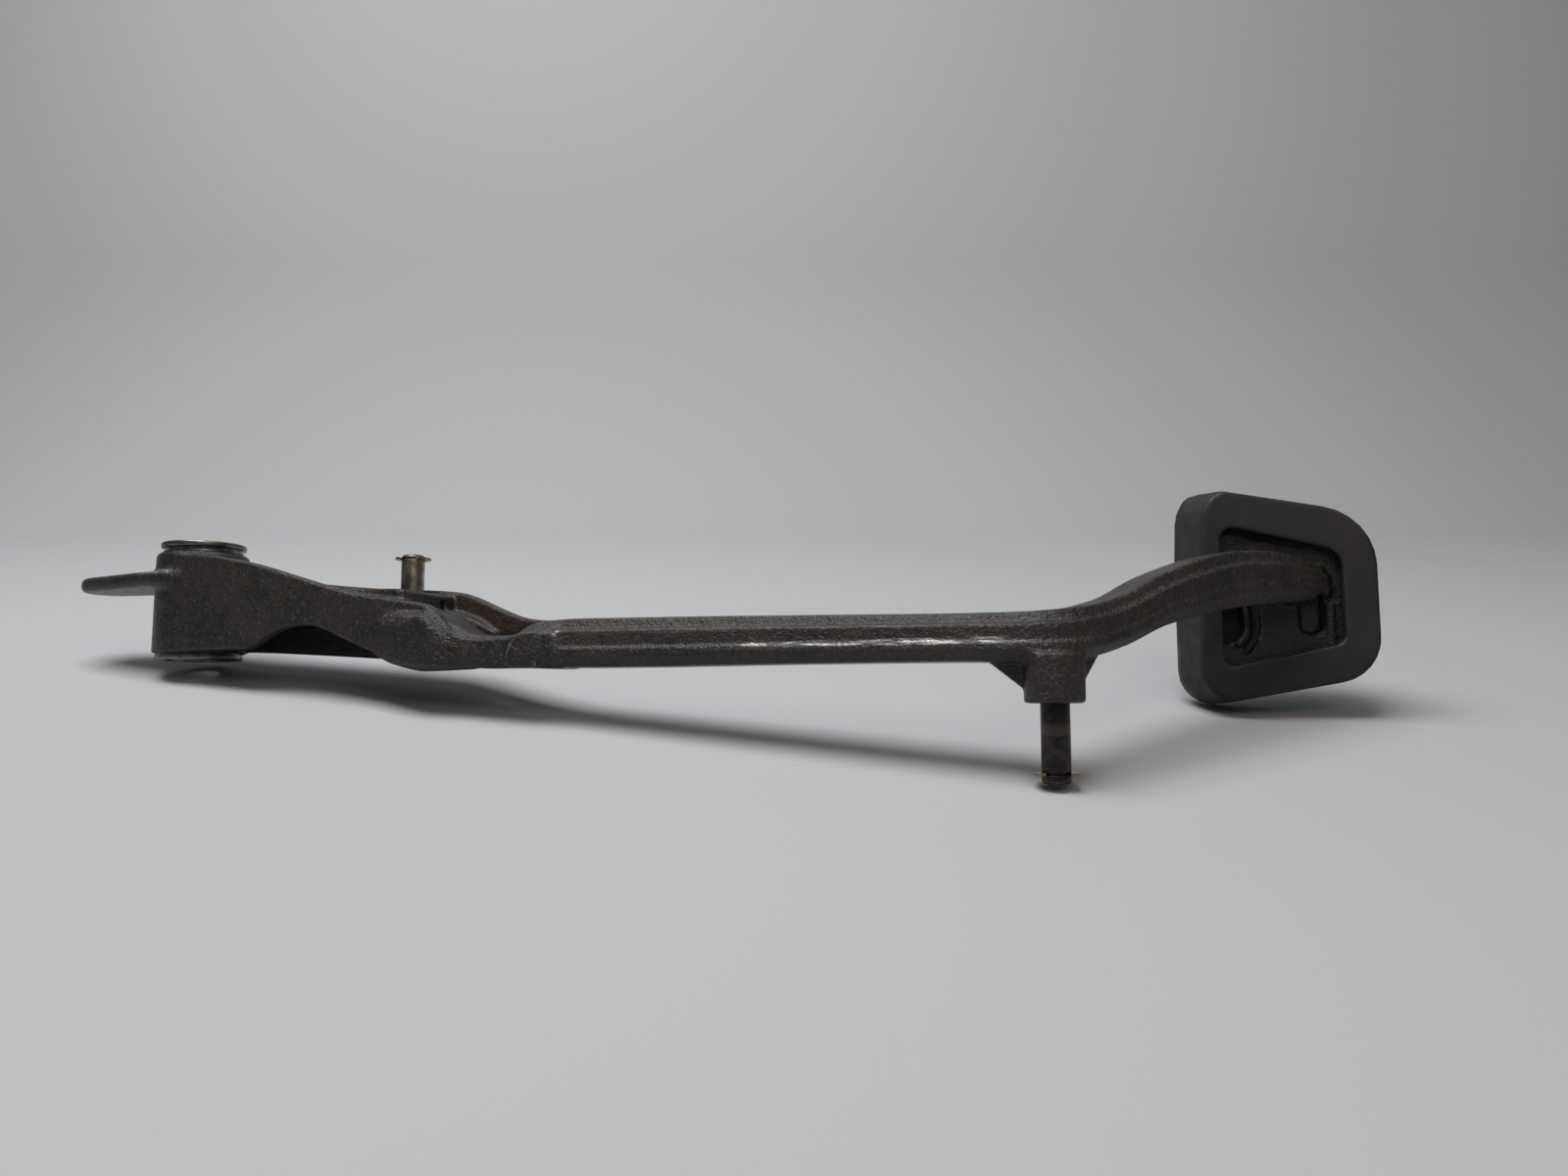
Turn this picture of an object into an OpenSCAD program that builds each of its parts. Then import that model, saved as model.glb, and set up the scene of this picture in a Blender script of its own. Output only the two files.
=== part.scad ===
// Brake pedal lever: one cast arm with a bushed pivot tube, a pushrod pin and a side pin that are
// each kept by an E-clip, and a rubber pad stretched over the cast foot plate.
// Row frame: origin at the middle of the pivot bore, +Z along the pivot axis, +X towards the pad,
// +Y towards the driver's foot, so that the foot pushes the pad towards -Y.

/* [Pivot] */
// Outer diameter of the cast pivot tube
tube_d = 31.5; // [30:0.5:33]
// Length of the cast pivot tube without the bushes
tube_len = 37; // [36:0.5:38]
// Diameter of the bushes where they sit in the tube
bush_d = 24; // [23:0.5:25]
// Diameter of the upper bush's rim
upper_rim_d = 28.4; // [27.4:0.2:29]
// Diameter of the lower bush's flange
lower_flange_d = 29; // [28:0.2:30]
// Outer diameter of the steel sleeve that the bushes turn on
sleeve_d = 18; // [17:0.5:19]
// Bore of the steel sleeve, for an M12 bolt
sleeve_bore_d = 12.2; // [12.1:0.1:12.6]
// Radial running clearance between sleeve and bushes
running_gap = 0.04; // [0.02:0.01:0.08]

/* [Arm] */
// Angle between the straight part of the arm and the line from pivot to pad
arm_angle = 14.5; // [14:0.5:15]
// Distance from the pivot to the side pin's boss along the straight part
boss_reach = 311.5; // [310:0.5:313]
// Width of the rod, seen along the pivot axis
rod_w = 16; // [15:0.5:17]
// Wall thickness of the hollow head
head_wall = 5; // [4:0.2:6]
// Reach of the tongue behind the pivot
tongue_reach = 50.5; // [47:0.5:52]
// Thickness of the tongue
tongue_t = 5.5; // [4:0.5:6]
// Diameter of the side pin's boss
boss_d = 16.5; // [15.5:0.5:17.5]

/* [Pins] */
// Diameter of both pins
pin_d = 8; // [7.8:0.1:8.2]
// Diameter of both pins where they are pressed into the casting
pin_root_d = 7; // [6.8:0.1:7.2]
// Free length of the pushrod pin above its seat
pushrod_pin_len = 14; // [13:0.2:15]
// Free length of the side pin below its boss
side_pin_len = 21.8; // [20:0.2:23]
// Outer diameter of the E-clips
clip_d = 12.3; // [11.8:0.1:12.6]
// Thickness of the E-clips
clip_t = 0.7; // [0.6:0.05:0.8]

/* [Pad] */
// Distance from the pivot to the middle of the pad
pad_reach = 382.5; // [380:0.5:385]
// Width of the rubber pad, along the pedal
pad_w = 60; // [58:0.5:62]
// Height of the pad's outline at its wide end, before the corners are rounded
pad_wide = 74.5; // [73:0.5:76]
// Height of the pad's outline at its narrow end, before the corners are rounded
pad_narrow = 52.5; // [51:0.5:54]
// Thickness of the rubber pad
pad_t = 19; // [18:0.5:20]
// Thickness of the cast foot plate inside the rubber
plate_t = 4.5; // [4:0.1:5]

/* [Hidden] */
$fn = 72;

// Pivot: the upper bush's rim stands off the tube by a narrow neck
tube_top = tube_len / 2 - 0.7;
tube_bottom = tube_top - tube_len;
collar_t = 0.6;
neck_t = 1.1;
upper_rim_t = 2;
lower_flange_t = 2.4;
bush_len = 14;
bush_lead = 1.5;          // chamfer at a bush's mouth
upper_top = tube_top + collar_t + neck_t + upper_rim_t;
lower_bottom = tube_bottom - lower_flange_t;
sleeve_half = 21.8;       // the sleeve is clamped, so it is a little longer than the bushes

tongue_z = 7.3;           // middle of the tongue's thickness
tongue_end_r = 10.5;
tongue_angle = 7;         // turn of the tongue away from the line to the pad

pushrod_pin_at = [85.5, 12.5];   // along and across the straight part of the arm
pushrod_seat_z = 1;
pushrod_root = 6;                // length of pin held in the casting
pushrod_seat_d = 14;
boss_z = -38.5;                  // free end of the side pin's boss
boss_len = 24;
side_root = 12;
gusset_t = 5;
gusset_angle = 56.5;             // turn from the straight part to the rise
groove_r = 3;                    // pin radius in the E-clip's groove
groove_w = 0.8;
pushrod_groove_edge = 1;         // pin beyond the groove
side_groove_edge = 2.3;
tip_chamfer = 0.8;
clip_mouth = 6.2;                // the mouth clears the groove, so the clip can slide off
clip_lobe_d = 1.9;
clip_play = 0.05;                 // between clip and groove

pad_mid = -2.7;                  // height of the pad's middle along the pivot axis
pad_y0 = -pad_t / 2;             // rear face of the rubber
plate_y0 = -5.6;                 // rear face of the foot plate
plate_inset = 5;                 // rubber round the plate's left and right edges
through = 40;                    // more than half the height or width of anything cut

// ---- outlines: each point is [x, y, corner radius] ----
function unit(v) = v / norm(v);
function xy(p) = [p[0], p[1]];
function corner(a, b, c, r, steps = 6) =
    let (u = unit(a - b), w = unit(c - b), half = acos(u * w) / 2,
         middle = b + unit(u + w) * r / sin(half),
         from = b + u * r / tan(half) - middle, to = b + w * r / tan(half) - middle,
         start = atan2(from[1], from[0]), turn = atan2(to[1], to[0]) - start,
         sweep = turn > 180 ? turn - 360 : turn < -180 ? turn + 360 : turn)
    [for (i = [0:steps])
        middle + r * [cos(start + sweep * i / steps), sin(start + sweep * i / steps)]];
function rounded(p) = let (n = len(p))
    [for (i = [0:n - 1]) each p[i][2] > 0
        ? corner(xy(p[(i + n - 1) % n]), xy(p[i]), xy(p[(i + 1) % n]), p[i][2])
        : [xy(p[i])]];

// An outline seen from the side (x, z), drawn through from y0 to y1
module side(points, y0, y1) {
    translate([0, y1, 0]) rotate([90, 0, 0]) linear_extrude(y1 - y0) polygon(rounded(points));
}
// An outline seen from above (x, y), drawn through in height
module plan(points) {
    translate([0, 0, -through]) linear_extrude(2 * through) polygon(points);
}
// Children drawn along and across the straight part of the arm
module along_arm() { rotate([0, 0, -arm_angle]) children(); }
module on_pushrod_axis() {
    along_arm() translate([pushrod_pin_at[0], pushrod_pin_at[1], 0]) children();
}
module on_boss_axis() { along_arm() translate([boss_reach, 0, 0]) children(); }

// ---- head: a near wall with an arch, a far wall, and the web between them ----
tube_r = tube_d / 2;
rod_r = rod_w / 2;
wall_in = 0.3;            // the walls start just inside the tube's skin
near_wall = [[0, wall_in - tube_r], [89, -12], [106, -15], [136, -11.5], [155, -rod_r]];
far_wall = [[0, tube_r - wall_in], [42, 20], [97, 23.5], [144, 10], [155, rod_r]];
function pushed(p, d) = [for (q = p) [q[0], q[1] + d]];
function backwards(p) = [for (i = [len(p) - 1:-1:0]) p[i]];
module band(a, b) { plan(concat(a, backwards(b))); }

module near_side() {
    side([[0, 13, 0], [31, 13, 12], [80, -1, 32], [95, -3.5, 15], [117.5, -6, 6],
          [129, -16.5, 6], [155, -15.5, 0], [155, -26.5, 0], [112, -27, 21], [65, -10.8, 12],
          [51, -10.8, 8], [37, -18.3, 0], [0, -18.3, 0]], -through, through);
}
module far_side() {
    side([[0, 13, 0], [19, 9.5, 14], [85, 3.5, 42], [104, 1.5, 14], [131, -9, 12],
          [155, -10, 0], [155, -26.5, 0], [95, -23, 30], [0, -18.3, 0]], -through, through);
}
module web_side() {
    side([[0, 3, 0], [62, -3, 8], [70, 1, 4], [96, 1, 3], [104, -9.5, 5], [155, -16, 0],
          [155, -20, 0], [100, -15, 6], [89, -5, 5], [0, -5, 0]], -through, through);
}
module head() {
    along_arm() {
        intersection() {
            band(near_wall, pushed(near_wall, head_wall));
            near_side();
        }
        intersection() {
            band(pushed(far_wall, -head_wall), far_wall);
            far_side();
        }
        intersection() {
            band(pushed(near_wall, head_wall / 2), pushed(far_wall, -head_wall / 2));
            web_side();
        }
    }
}

// ---- rod and rise: one bar swept through stations [x, y, bottom z, top z, half width] ----
function straight(reach, bottom, top) =
    [reach * cos(arm_angle), -reach * sin(arm_angle), bottom, top, rod_r];
stations = [straight(146, -26.5, -10.5), straight(190, -26.8, -11.5),
            straight(240, -27, -12.7), straight(287, -27.2, -13.6),
            [301, -75.5, -27.3, -12.8, rod_r], [318, -64, -23, -9, rod_r],
            [334, -50, -15.5, -1.5, rod_r], [356, -31, -10, 7.5, 8],
            [375, -18, -8, 10, 7.5], [390, -11, -7.5, 8.5, 6.5]];
span_steps = 4;
low_chamfer = [3, 4];     // across and up, on the bar's lower edges
top_chamfer = [2.5, 2.5]; // across and down, on its upper edges

// Catmull-Rom curve through the stations
function held(i) = stations[max(0, min(len(stations) - 1, i))];
function blend(a, b, c, d, t) =
    0.5 * (2 * b + (c - a) * t + (2 * a - 5 * b + 4 * c - d) * t * t
           + (3 * b - a - 3 * c + d) * t * t * t);
function station(k) = let (i = floor(k / span_steps), t = k / span_steps - i)
    blend(held(i - 1), held(i), held(i + 1), held(i + 2), t);
last_ring = (len(stations) - 1) * span_steps;
function heading(k) = let (a = station(max(k - 1, 0)), b = station(min(k + 1, last_ring)))
    unit([b[0] - a[0], b[1] - a[1]]);
function section(w, lo, hi) = let (a = low_chamfer, b = top_chamfer)
    [[-w + a[0], lo], [w - a[0], lo], [w, lo + a[1]], [w, hi - b[1]],
     [w - b[0], hi], [-w + b[0], hi], [-w, hi - b[1]], [-w, lo + a[1]]];
ring_size = len(section(1, 0, 1));
function ring(k) = let (p = station(k), h = heading(k))
    [for (q = section(p[4], p[2], p[3])) [p[0] - h[1] * q[0], p[1] + h[0] * q[0], q[1]]];

module swept_bar() {
    points = [for (k = [0:last_ring]) each ring(k)];
    skin = [for (k = [0:last_ring - 1]) for (j = [0:ring_size - 1])
        let (a = k * ring_size + j, b = k * ring_size + (j + 1) % ring_size)
        each [[a, a + ring_size, b], [b, a + ring_size, b + ring_size]]];
    first = [for (j = [0:ring_size - 1]) j];
    last = [for (j = [ring_size - 1:-1:0]) last_ring * ring_size + j];
    polyhedron(points, concat(skin, [first], [last]));
}

// ---- other features of the casting ----
module tongue() {
    root_r = tube_r + 1;
    reach = tongue_reach - tongue_end_r;
    tilt = asin((root_r - tongue_end_r) / reach);
    edge = [sin(tilt), cos(tilt)];
    far = [reach + edge[0] * tongue_end_r, edge[1] * tongue_end_r];
    translate([0, 0, tongue_z - tongue_t / 2]) rotate([0, 0, 180 - tongue_angle]) {
        cylinder(r = root_r, h = tongue_t);
        translate([reach, 0, 0]) cylinder(r = tongue_end_r, h = tongue_t);
        linear_extrude(tongue_t)
            polygon([root_r * edge, far, [far[0], -far[1]], [root_r * edge[0], -root_r * edge[1]]]);
    }
}
module boss() {
    on_boss_axis() {
        translate([0, 0, boss_z]) cylinder(d = boss_d, h = boss_len);
        side([[-17.5, -25, 0], [-17.5, -27.2, 0], [-7, -35.5, 2], [0, -35.5, 0], [0, -25, 0]],
             -gusset_t / 2, gusset_t / 2);
        rotate([0, 0, gusset_angle])
            side([[0, -22, 0], [0, -36, 0], [7, -36, 2], [16, -25, 2], [16, -20, 0]],
                 -gusset_t / 2, gusset_t / 2);
    }
}
module pushrod_seat() {
    on_pushrod_axis() translate([0, 0, pushrod_seat_z - pushrod_root])
        cylinder(d = pushrod_seat_d, h = pushrod_root);
}

// ---- foot plate and rubber, outlined in the pad's plane (x along the pedal, z) ----
pad_left = pad_reach - pad_w / 2;
pad_right = pad_reach + pad_w / 2;
pad_outline = [[pad_left, pad_mid + pad_wide / 2, 11], [pad_right, pad_mid + pad_narrow / 2, 20],
               [pad_right, pad_mid - pad_narrow / 2, 12], [pad_left, pad_mid - pad_wide / 2, 11]];
plate_left = pad_left + plate_inset;
plate_right = pad_right - plate_inset;
plate_outline = [[plate_left, pad_mid + pad_wide / 2 - 7, 7],
                 [plate_right, pad_mid + pad_narrow / 2 - 5.5, 15],
                 [plate_right, pad_mid - pad_narrow / 2 + 5.5, 8],
                 [plate_left, pad_mid - pad_wide / 2 + 7, 7]];
rim_opening = [[363.5, 20.5, 4], [401.5, 11.5, 7], [401.5, -18.5, 4], [363.5, -26.5, 3]];
window_left = [[364, -3.5, 2], [371, -3.5, 2], [371, -16.5, 3], [364, -16.5, 3]];
window_right = [[389.5, -3.5, 2], [396, -3.5, 2], [396, -14.5, 3], [389.5, -14.5, 3]];

module foot_plate() {
    difference() {
        side(plate_outline, plate_y0, plate_y0 + plate_t);
        side(window_left, -through, through);
        side(window_right, -through, through);
    }
}

// Shouldered pin along +Z from its seat, with the clip's groove near its tip
module pin(free, root, groove_edge) {
    r = pin_d / 2;
    groove_top = free - groove_edge;
    rotate_extrude()
        polygon([[0, -root], [pin_root_d / 2, -root], [pin_root_d / 2, 0], [r, 0],
                 [r, groove_top - groove_w], [groove_r, groove_top - groove_w],
                 [groove_r, groove_top], [r, groove_top], [r, free - tip_chamfer],
                 [r - tip_chamfer, free], [0, free]]);
}
// Flat E-clip centred on the Z axis, mouth towards -Y
module e_clip() {
    r = clip_d / 2;
    translate([0, 0, -clip_t / 2]) linear_extrude(clip_t) difference() {
        circle(r = r);
        circle(r = groove_r + clip_play);
        translate([-clip_mouth / 2, -r - 1]) square([clip_mouth, r + 1]);
        for (a = [55, 125]) rotate(a) translate([groove_r + 0.5, 0]) circle(d = clip_lobe_d);
    }
}

// ---- nodes ----
module pivot_sleeve() {
    color("silver") difference() {
        cylinder(d = sleeve_d, h = 2 * sleeve_half, center = true);
        cylinder(d = sleeve_bore_d, h = 2 * through, center = true);
    }
}
module upper_bush() {
    bore = sleeve_d / 2 + running_gap;
    neck_r = bush_d / 2;
    collar_r = upper_rim_d / 2 - 0.6;
    collar_top = tube_top + collar_t;
    color("dimgray") rotate_extrude()
        polygon([[bore, tube_top - bush_len], [neck_r, tube_top - bush_len], [neck_r, tube_top],
                 [collar_r, tube_top], [collar_r, collar_top], [neck_r, collar_top],
                 [neck_r, collar_top + neck_t], [upper_rim_d / 2, collar_top + neck_t],
                 [upper_rim_d / 2, upper_top], [bore + bush_lead, upper_top],
                 [bore, upper_top - bush_lead]]);
}
module lower_bush() {
    bore = sleeve_d / 2 + running_gap;
    color("dimgray") rotate_extrude()
        polygon([[bore, tube_bottom + bush_len], [bush_d / 2, tube_bottom + bush_len],
                 [bush_d / 2, tube_bottom], [lower_flange_d / 2, tube_bottom],
                 [lower_flange_d / 2, lower_bottom], [bore + bush_lead, lower_bottom],
                 [bore, lower_bottom + bush_lead]]);
}
module pedal_arm() {
    color([0.13, 0.12, 0.12]) difference() {
        union() {
            translate([0, 0, tube_bottom]) cylinder(d = tube_d, h = tube_len);
            tongue();
            head();
            pushrod_seat();
            swept_bar();
            boss();
            foot_plate();
        }
        cylinder(d = bush_d, h = 2 * through, center = true);
        on_pushrod_axis() translate([0, 0, pushrod_seat_z - pushrod_root])
            cylinder(d = pin_root_d, h = through);
        on_boss_axis() translate([0, 0, boss_z - 1]) cylinder(d = pin_root_d, h = side_root + 1);
    }
}
module pushrod_pin() {
    color("tan") on_pushrod_axis() translate([0, 0, pushrod_seat_z])
        pin(pushrod_pin_len, pushrod_root, pushrod_groove_edge);
}
module pushrod_clip() {
    z = pushrod_seat_z + pushrod_pin_len - pushrod_groove_edge - groove_w / 2;
    color("goldenrod") on_pushrod_axis() translate([0, 0, z]) rotate([0, 0, arm_angle]) e_clip();
}
module side_pin() {
    color("dimgray") on_boss_axis() translate([0, 0, boss_z]) rotate([180, 0, 0])
        pin(side_pin_len, side_root, side_groove_edge);
}
module side_clip() {
    z = boss_z - side_pin_len + side_groove_edge + groove_w / 2;
    color("darkgoldenrod") on_boss_axis() translate([0, 0, z]) rotate([0, 0, arm_angle]) e_clip();
}
module rubber_pad() {
    color([0.15, 0.15, 0.15]) difference() {
        side(pad_outline, pad_y0, pad_y0 + pad_t);
        side(plate_outline, plate_y0, plate_y0 + plate_t);
        side(rim_opening, -through, plate_y0 + 1);
    }
}

pivot_sleeve();
upper_bush();
lower_bush();
pedal_arm();
pushrod_pin();
pushrod_clip();
side_pin();
side_clip();
rubber_pad();
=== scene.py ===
"""Brake pedal lever lying on a pale floor. Geometry here is written in millimetres in the row frame."""
import math

import bpy
import numpy as np
from mathutils import Matrix, Vector


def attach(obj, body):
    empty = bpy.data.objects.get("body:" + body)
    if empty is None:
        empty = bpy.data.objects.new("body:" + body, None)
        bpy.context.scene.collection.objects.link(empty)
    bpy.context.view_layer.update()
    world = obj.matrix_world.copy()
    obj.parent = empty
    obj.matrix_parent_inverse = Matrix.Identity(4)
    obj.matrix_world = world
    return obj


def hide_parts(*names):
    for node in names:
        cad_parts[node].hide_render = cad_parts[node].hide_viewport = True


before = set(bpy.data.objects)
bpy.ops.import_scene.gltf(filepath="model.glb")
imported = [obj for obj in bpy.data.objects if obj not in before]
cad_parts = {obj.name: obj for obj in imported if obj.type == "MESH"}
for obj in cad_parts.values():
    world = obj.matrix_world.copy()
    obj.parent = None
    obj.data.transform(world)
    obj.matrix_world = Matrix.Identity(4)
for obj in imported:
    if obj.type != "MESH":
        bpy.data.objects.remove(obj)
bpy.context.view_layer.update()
MM = 0.001
scene = bpy.context.scene

# ------------------------------------------------------------------ studio frame
# The lever lies leaning on its side pin, pad and tube, so the room is tilted round it.
YAW, LEAN, PITCH = map(math.radians, (6.8, 17, 10.8))
RIGHT = Vector((math.cos(YAW), math.sin(YAW), 0))
level = Vector((-math.sin(YAW), math.cos(YAW), 0))
UP = math.cos(LEAN) * Vector((0, 0, 1)) - math.sin(LEAN) * level
DEPTH = math.cos(LEAN) * level + math.sin(LEAN) * Vector((0, 0, 1))
EYE = Vector((0.2665, -0.408, -0.042))
EYE_HEIGHT = 0.1135


def room(x, y, z):
    """A point from its distance right of the eye, ahead of it and above the floor, in metres."""
    return EYE + RIGHT * x + DEPTH * y + UP * (z - EYE_HEIGHT)


def photo_camera():
    data = bpy.data.cameras.new("camera")
    data.sensor_fit = "HORIZONTAL"
    data.sensor_width = 36
    data.lens = 27.1
    data.clip_start, data.clip_end = 0.01, 20
    camera = bpy.data.objects.new("camera", data)
    scene.collection.objects.link(camera)
    forward = math.cos(PITCH) * DEPTH - math.sin(PITCH) * UP
    top = math.sin(PITCH) * DEPTH + math.cos(PITCH) * UP
    turn = Matrix((RIGHT, top, -forward)).transposed().to_4x4()
    camera.matrix_world = Matrix.Translation(EYE) @ turn
    scene.camera = camera


def area_light(name, place, size, power, colour):
    """A soft light that looks at the lever's middle."""
    data = bpy.data.lights.new(name, "AREA")
    data.shape = "RECTANGLE"
    data.size, data.size_y = size
    data.energy = power
    data.color = colour
    lamp = bpy.data.objects.new(name, data)
    scene.collection.objects.link(lamp)
    lamp.location = place
    lamp.rotation_mode = "QUATERNION"
    lamp.rotation_quaternion = (room(0.0, 0.42, 0.04) - place).to_track_quat("-Z", "Y")


def surroundings():
    world = bpy.data.worlds.new("studio")
    world.use_nodes = True
    sky = world.node_tree.nodes["Background"].inputs
    sky["Color"].default_value = (0.84, 0.92, 1, 1)
    sky["Strength"].default_value = 0.12
    scene.world = world
    scene.view_settings.view_transform = "Standard"


photo_camera()
area_light("key", room(-0.25, 0.36, 1.0), (0.8, 0.5), 12.5, (0.97, 0.98, 1))
area_light("front", room(0.3, -0.3, 0.8), (0.7, 0.4), 1.6, (1, 0.84, 0.7))
surroundings()


# ------------------------------------------------------------------ materials
class Graph:
    """A short way to write a material's nodes."""

    def __init__(self, name):
        self.material = bpy.data.materials.new(name)
        self.material.use_nodes = True
        self.nodes = self.material.node_tree.nodes
        self.links = self.material.node_tree.links
        self.shader = self.nodes["Principled BSDF"]
        self.place = self.nodes.new("ShaderNodeTexCoord").outputs["Object"]

    def put(self, socket, value):
        if isinstance(value, bpy.types.NodeSocket):
            self.links.new(value, socket)
        elif isinstance(value, tuple) and len(value) == 3 and socket.type == "RGBA":
            socket.default_value = (*value, 1)
        else:
            socket.default_value = value

    def noise(self, size, detail=3.0, rough=0.55, stretch=(1, 1, 1), where=None):
        """Noise whose features are about size millimetres across."""
        scaled = self.nodes.new("ShaderNodeMapping")
        self.links.new(where or self.place, scaled.inputs["Vector"])
        scaled.inputs["Scale"].default_value = [1 / MM / size / s for s in stretch]
        node = self.nodes.new("ShaderNodeTexNoise")
        self.links.new(scaled.outputs["Vector"], node.inputs["Vector"])
        node.inputs["Scale"].default_value = 1
        node.inputs["Detail"].default_value = detail
        node.inputs["Roughness"].default_value = rough
        return node.outputs["Fac"]

    def math(self, kind, a, b=0.0):
        node = self.nodes.new("ShaderNodeMath")
        node.operation = kind
        self.put(node.inputs[0], a)
        self.put(node.inputs[1], b)
        return node.outputs[0]

    def plus(self, a, b):
        return self.math("ADD", a, b)

    def times(self, a, b):
        return self.math("MULTIPLY", a, b)

    def most(self, a, b):
        return self.math("MAXIMUM", a, b)

    def ramp(self, value, low, high, to=(0.0, 1.0)):
        """Value from low to high, eased, as to[0] to to[1]."""
        node = self.nodes.new("ShaderNodeMapRange")
        node.interpolation_type = "SMOOTHSTEP"
        self.put(node.inputs["Value"], value)
        for name, v in zip(("From Min", "From Max", "To Min", "To Max"), (low, high, *to)):
            node.inputs[name].default_value = v
        return node.outputs["Result"]

    def mix(self, amount, a, b):
        node = self.nodes.new("ShaderNodeMix")
        node.data_type = "RGBA"
        self.put(node.inputs[0], amount)
        self.put(node.inputs[6], a)
        self.put(node.inputs[7], b)
        return node.outputs[2]

    def attribute(self, name):
        node = self.nodes.new("ShaderNodeAttribute")
        node.attribute_name = name
        return node.outputs["Fac"]

    def bump(self, height, depth):
        """Height from 0 to 1 stands for depth millimetres."""
        node = self.nodes.new("ShaderNodeBump")
        node.inputs["Strength"].default_value = 1
        node.inputs["Distance"].default_value = depth * MM
        self.links.new(height, node.inputs["Height"])
        return node.outputs["Normal"]

    def finish(self, **sockets):
        for name, value in sockets.items():
            self.put(self.shader.inputs[name.replace("_", " ")], value)
        return self.material


# colours are linear
BLACK_PAINT, BROWN_PAINT, THIN_PAINT = (0.008, 0.0075, 0.0078), (0.021, 0.014, 0.0105), (0.055, 0.045, 0.038)
PALE_MOTTLE, DARK_MOTTLE, PAINTED_GLINT = (0.031, 0.0235, 0.019), (0.004, 0.0038, 0.0042), (0.1, 0.088, 0.078)
RUST_AND_REFLECTION, PAINTED_SHADE_BLACK, BARE_STEEL = (0.046, 0.026, 0.018), (0.0055, 0.0052, 0.0054), (0.40, 0.38, 0.35)
RUBBER, DUSTY_RUBBER, WORN_RUBBER = (0.0138, 0.0118, 0.0122), (0.0195, 0.0165, 0.0158), (0.03, 0.028, 0.027)
DARK_STEEL, OILY_STEEL, RUBBED_STEEL = (0.035, 0.032, 0.031), (0.07, 0.06, 0.052), (0.32, 0.27, 0.22)
ROUND_LINES = (60, 60, 1)     # stretch of the noise that stands for lathe marks
RUBBED_Z = -45.7              # middle of the bright band on the side pin
ARM_DEGREES = 14.5            # from the line between pivot and pad to the straight part of the arm


def paint_wear(g, mottle):
    """Where the paint is thin, and where it is through to the metal."""
    turned = g.nodes.new("ShaderNodeMapping")
    turned.inputs["Rotation"].default_value = (0, 0, math.radians(ARM_DEGREES))
    g.links.new(g.place, turned.inputs["Vector"])
    dashes = g.noise(1.0, 4, 0.65, (11, 1, 1), turned.outputs["Vector"])
    rub = g.attribute("rub")
    worn = g.plus(g.times(g.attribute("edge"), g.plus(g.times(rub, 0.6), 0.3)), g.times(rub, 0.22))
    worn = g.plus(worn, g.times(mottle, 0.9))
    lines = g.plus(g.times(g.attribute("streak"), 0.66), g.times(dashes, 0.9))
    thin = g.most(g.ramp(worn, 0.62, 1.0), g.ramp(lines, 0.84, 1.12))
    bare = g.most(g.ramp(worn, 0.98, 1.12), g.ramp(lines, 1.08, 1.22))
    return thin, bare


def painted_casting():
    """Black paint with brown patches, rust and a painted warm reflection, pale specks painted as glints,
    painted shade in the hollows, worn on its edges.
    """
    g = Graph("arm_paint")
    mottle = g.noise(1.6, 5, 0.72)
    thin, bare = paint_wear(g, mottle)
    colour = g.mix(g.ramp(g.noise(17, 5, 0.62), 0.42, 0.6), BLACK_PAINT, BROWN_PAINT)
    # rust, and a painted warm reflection on the rod's top and the far wall beside the pocket
    rust_and_reflection_mix = g.times(g.attribute("rust_and_reflection"), g.ramp(g.noise(6, 4, 0.7), 0.35, 0.6, (0.45, 1)))
    colour = g.mix(rust_and_reflection_mix, colour, RUST_AND_REFLECTION)
    colour = g.mix(g.ramp(mottle, 0.52, 0.7), colour, PALE_MOTTLE)
    colour = g.mix(g.ramp(mottle, 0.44, 0.3), colour, DARK_MOTTLE)
    # pale specks painted as glints
    colour = g.mix(g.times(g.ramp(g.noise(1.1, 3, 0.8), 0.55, 0.68), 0.6), colour, PAINTED_GLINT)
    colour = g.mix(thin, colour, THIN_PAINT)
    # painted shade: the hollows, the foot plate and the head's underside are darkened
    colour = g.mix(g.times(g.attribute("painted_shade"), 0.85), colour, PAINTED_SHADE_BLACK)
    colour = g.mix(bare, colour, BARE_STEEL)
    rough = g.math("SUBTRACT", g.ramp(mottle, 0.35, 0.7, (0.30, 0.46)), g.times(thin, 0.05))
    grain = g.plus(g.times(g.noise(3.0, 3), 0.4), g.times(mottle, 0.35))
    grain = g.plus(grain, g.times(g.noise(0.8, 2, 0.6), 0.25))
    return g.finish(Base_Color=colour, Roughness=rough, Normal=g.bump(grain, 0.95),
                    Metallic=g.times(bare, 0.85), Specular_IOR_Level=0.45)


def moulded_rubber():
    g = Graph("pad_rubber")
    colour = g.mix(g.ramp(g.noise(14, 4), 0.45, 0.7), RUBBER, DUSTY_RUBBER)
    colour = g.mix(g.ramp(g.attribute("edge"), 0.35, 0.9), colour, WORN_RUBBER)
    rough = g.ramp(g.noise(5, 3), 0.35, 0.7, (0.5, 0.68))
    return g.finish(Base_Color=colour, Roughness=rough, Normal=g.bump(g.noise(0.5, 3), 0.05),
                    Specular_IOR_Level=0.4)


def turned_metal(name, light, dark, rings=0.25):
    """Bright metal with fine marks round its axis, dull blotches and dark specks."""
    g = Graph(name)
    lines = g.noise(rings, 2, 0.6, ROUND_LINES)
    blotch = g.noise(3.5, 4, 0.6)
    colour = g.mix(g.ramp(blotch, 0.38, 0.66), light, dark)
    colour = g.mix(g.ramp(g.noise(0.6, 3, 0.7), 0.6, 0.78), colour, tuple(0.45 * c for c in dark))
    rough = g.ramp(g.plus(g.times(lines, 0.5), g.times(blotch, 0.5)), 0.35, 0.65, (0.25, 0.45))
    return g.finish(Base_Color=colour, Metallic=1.0, Roughness=rough, Normal=g.bump(lines, 0.012))


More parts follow.
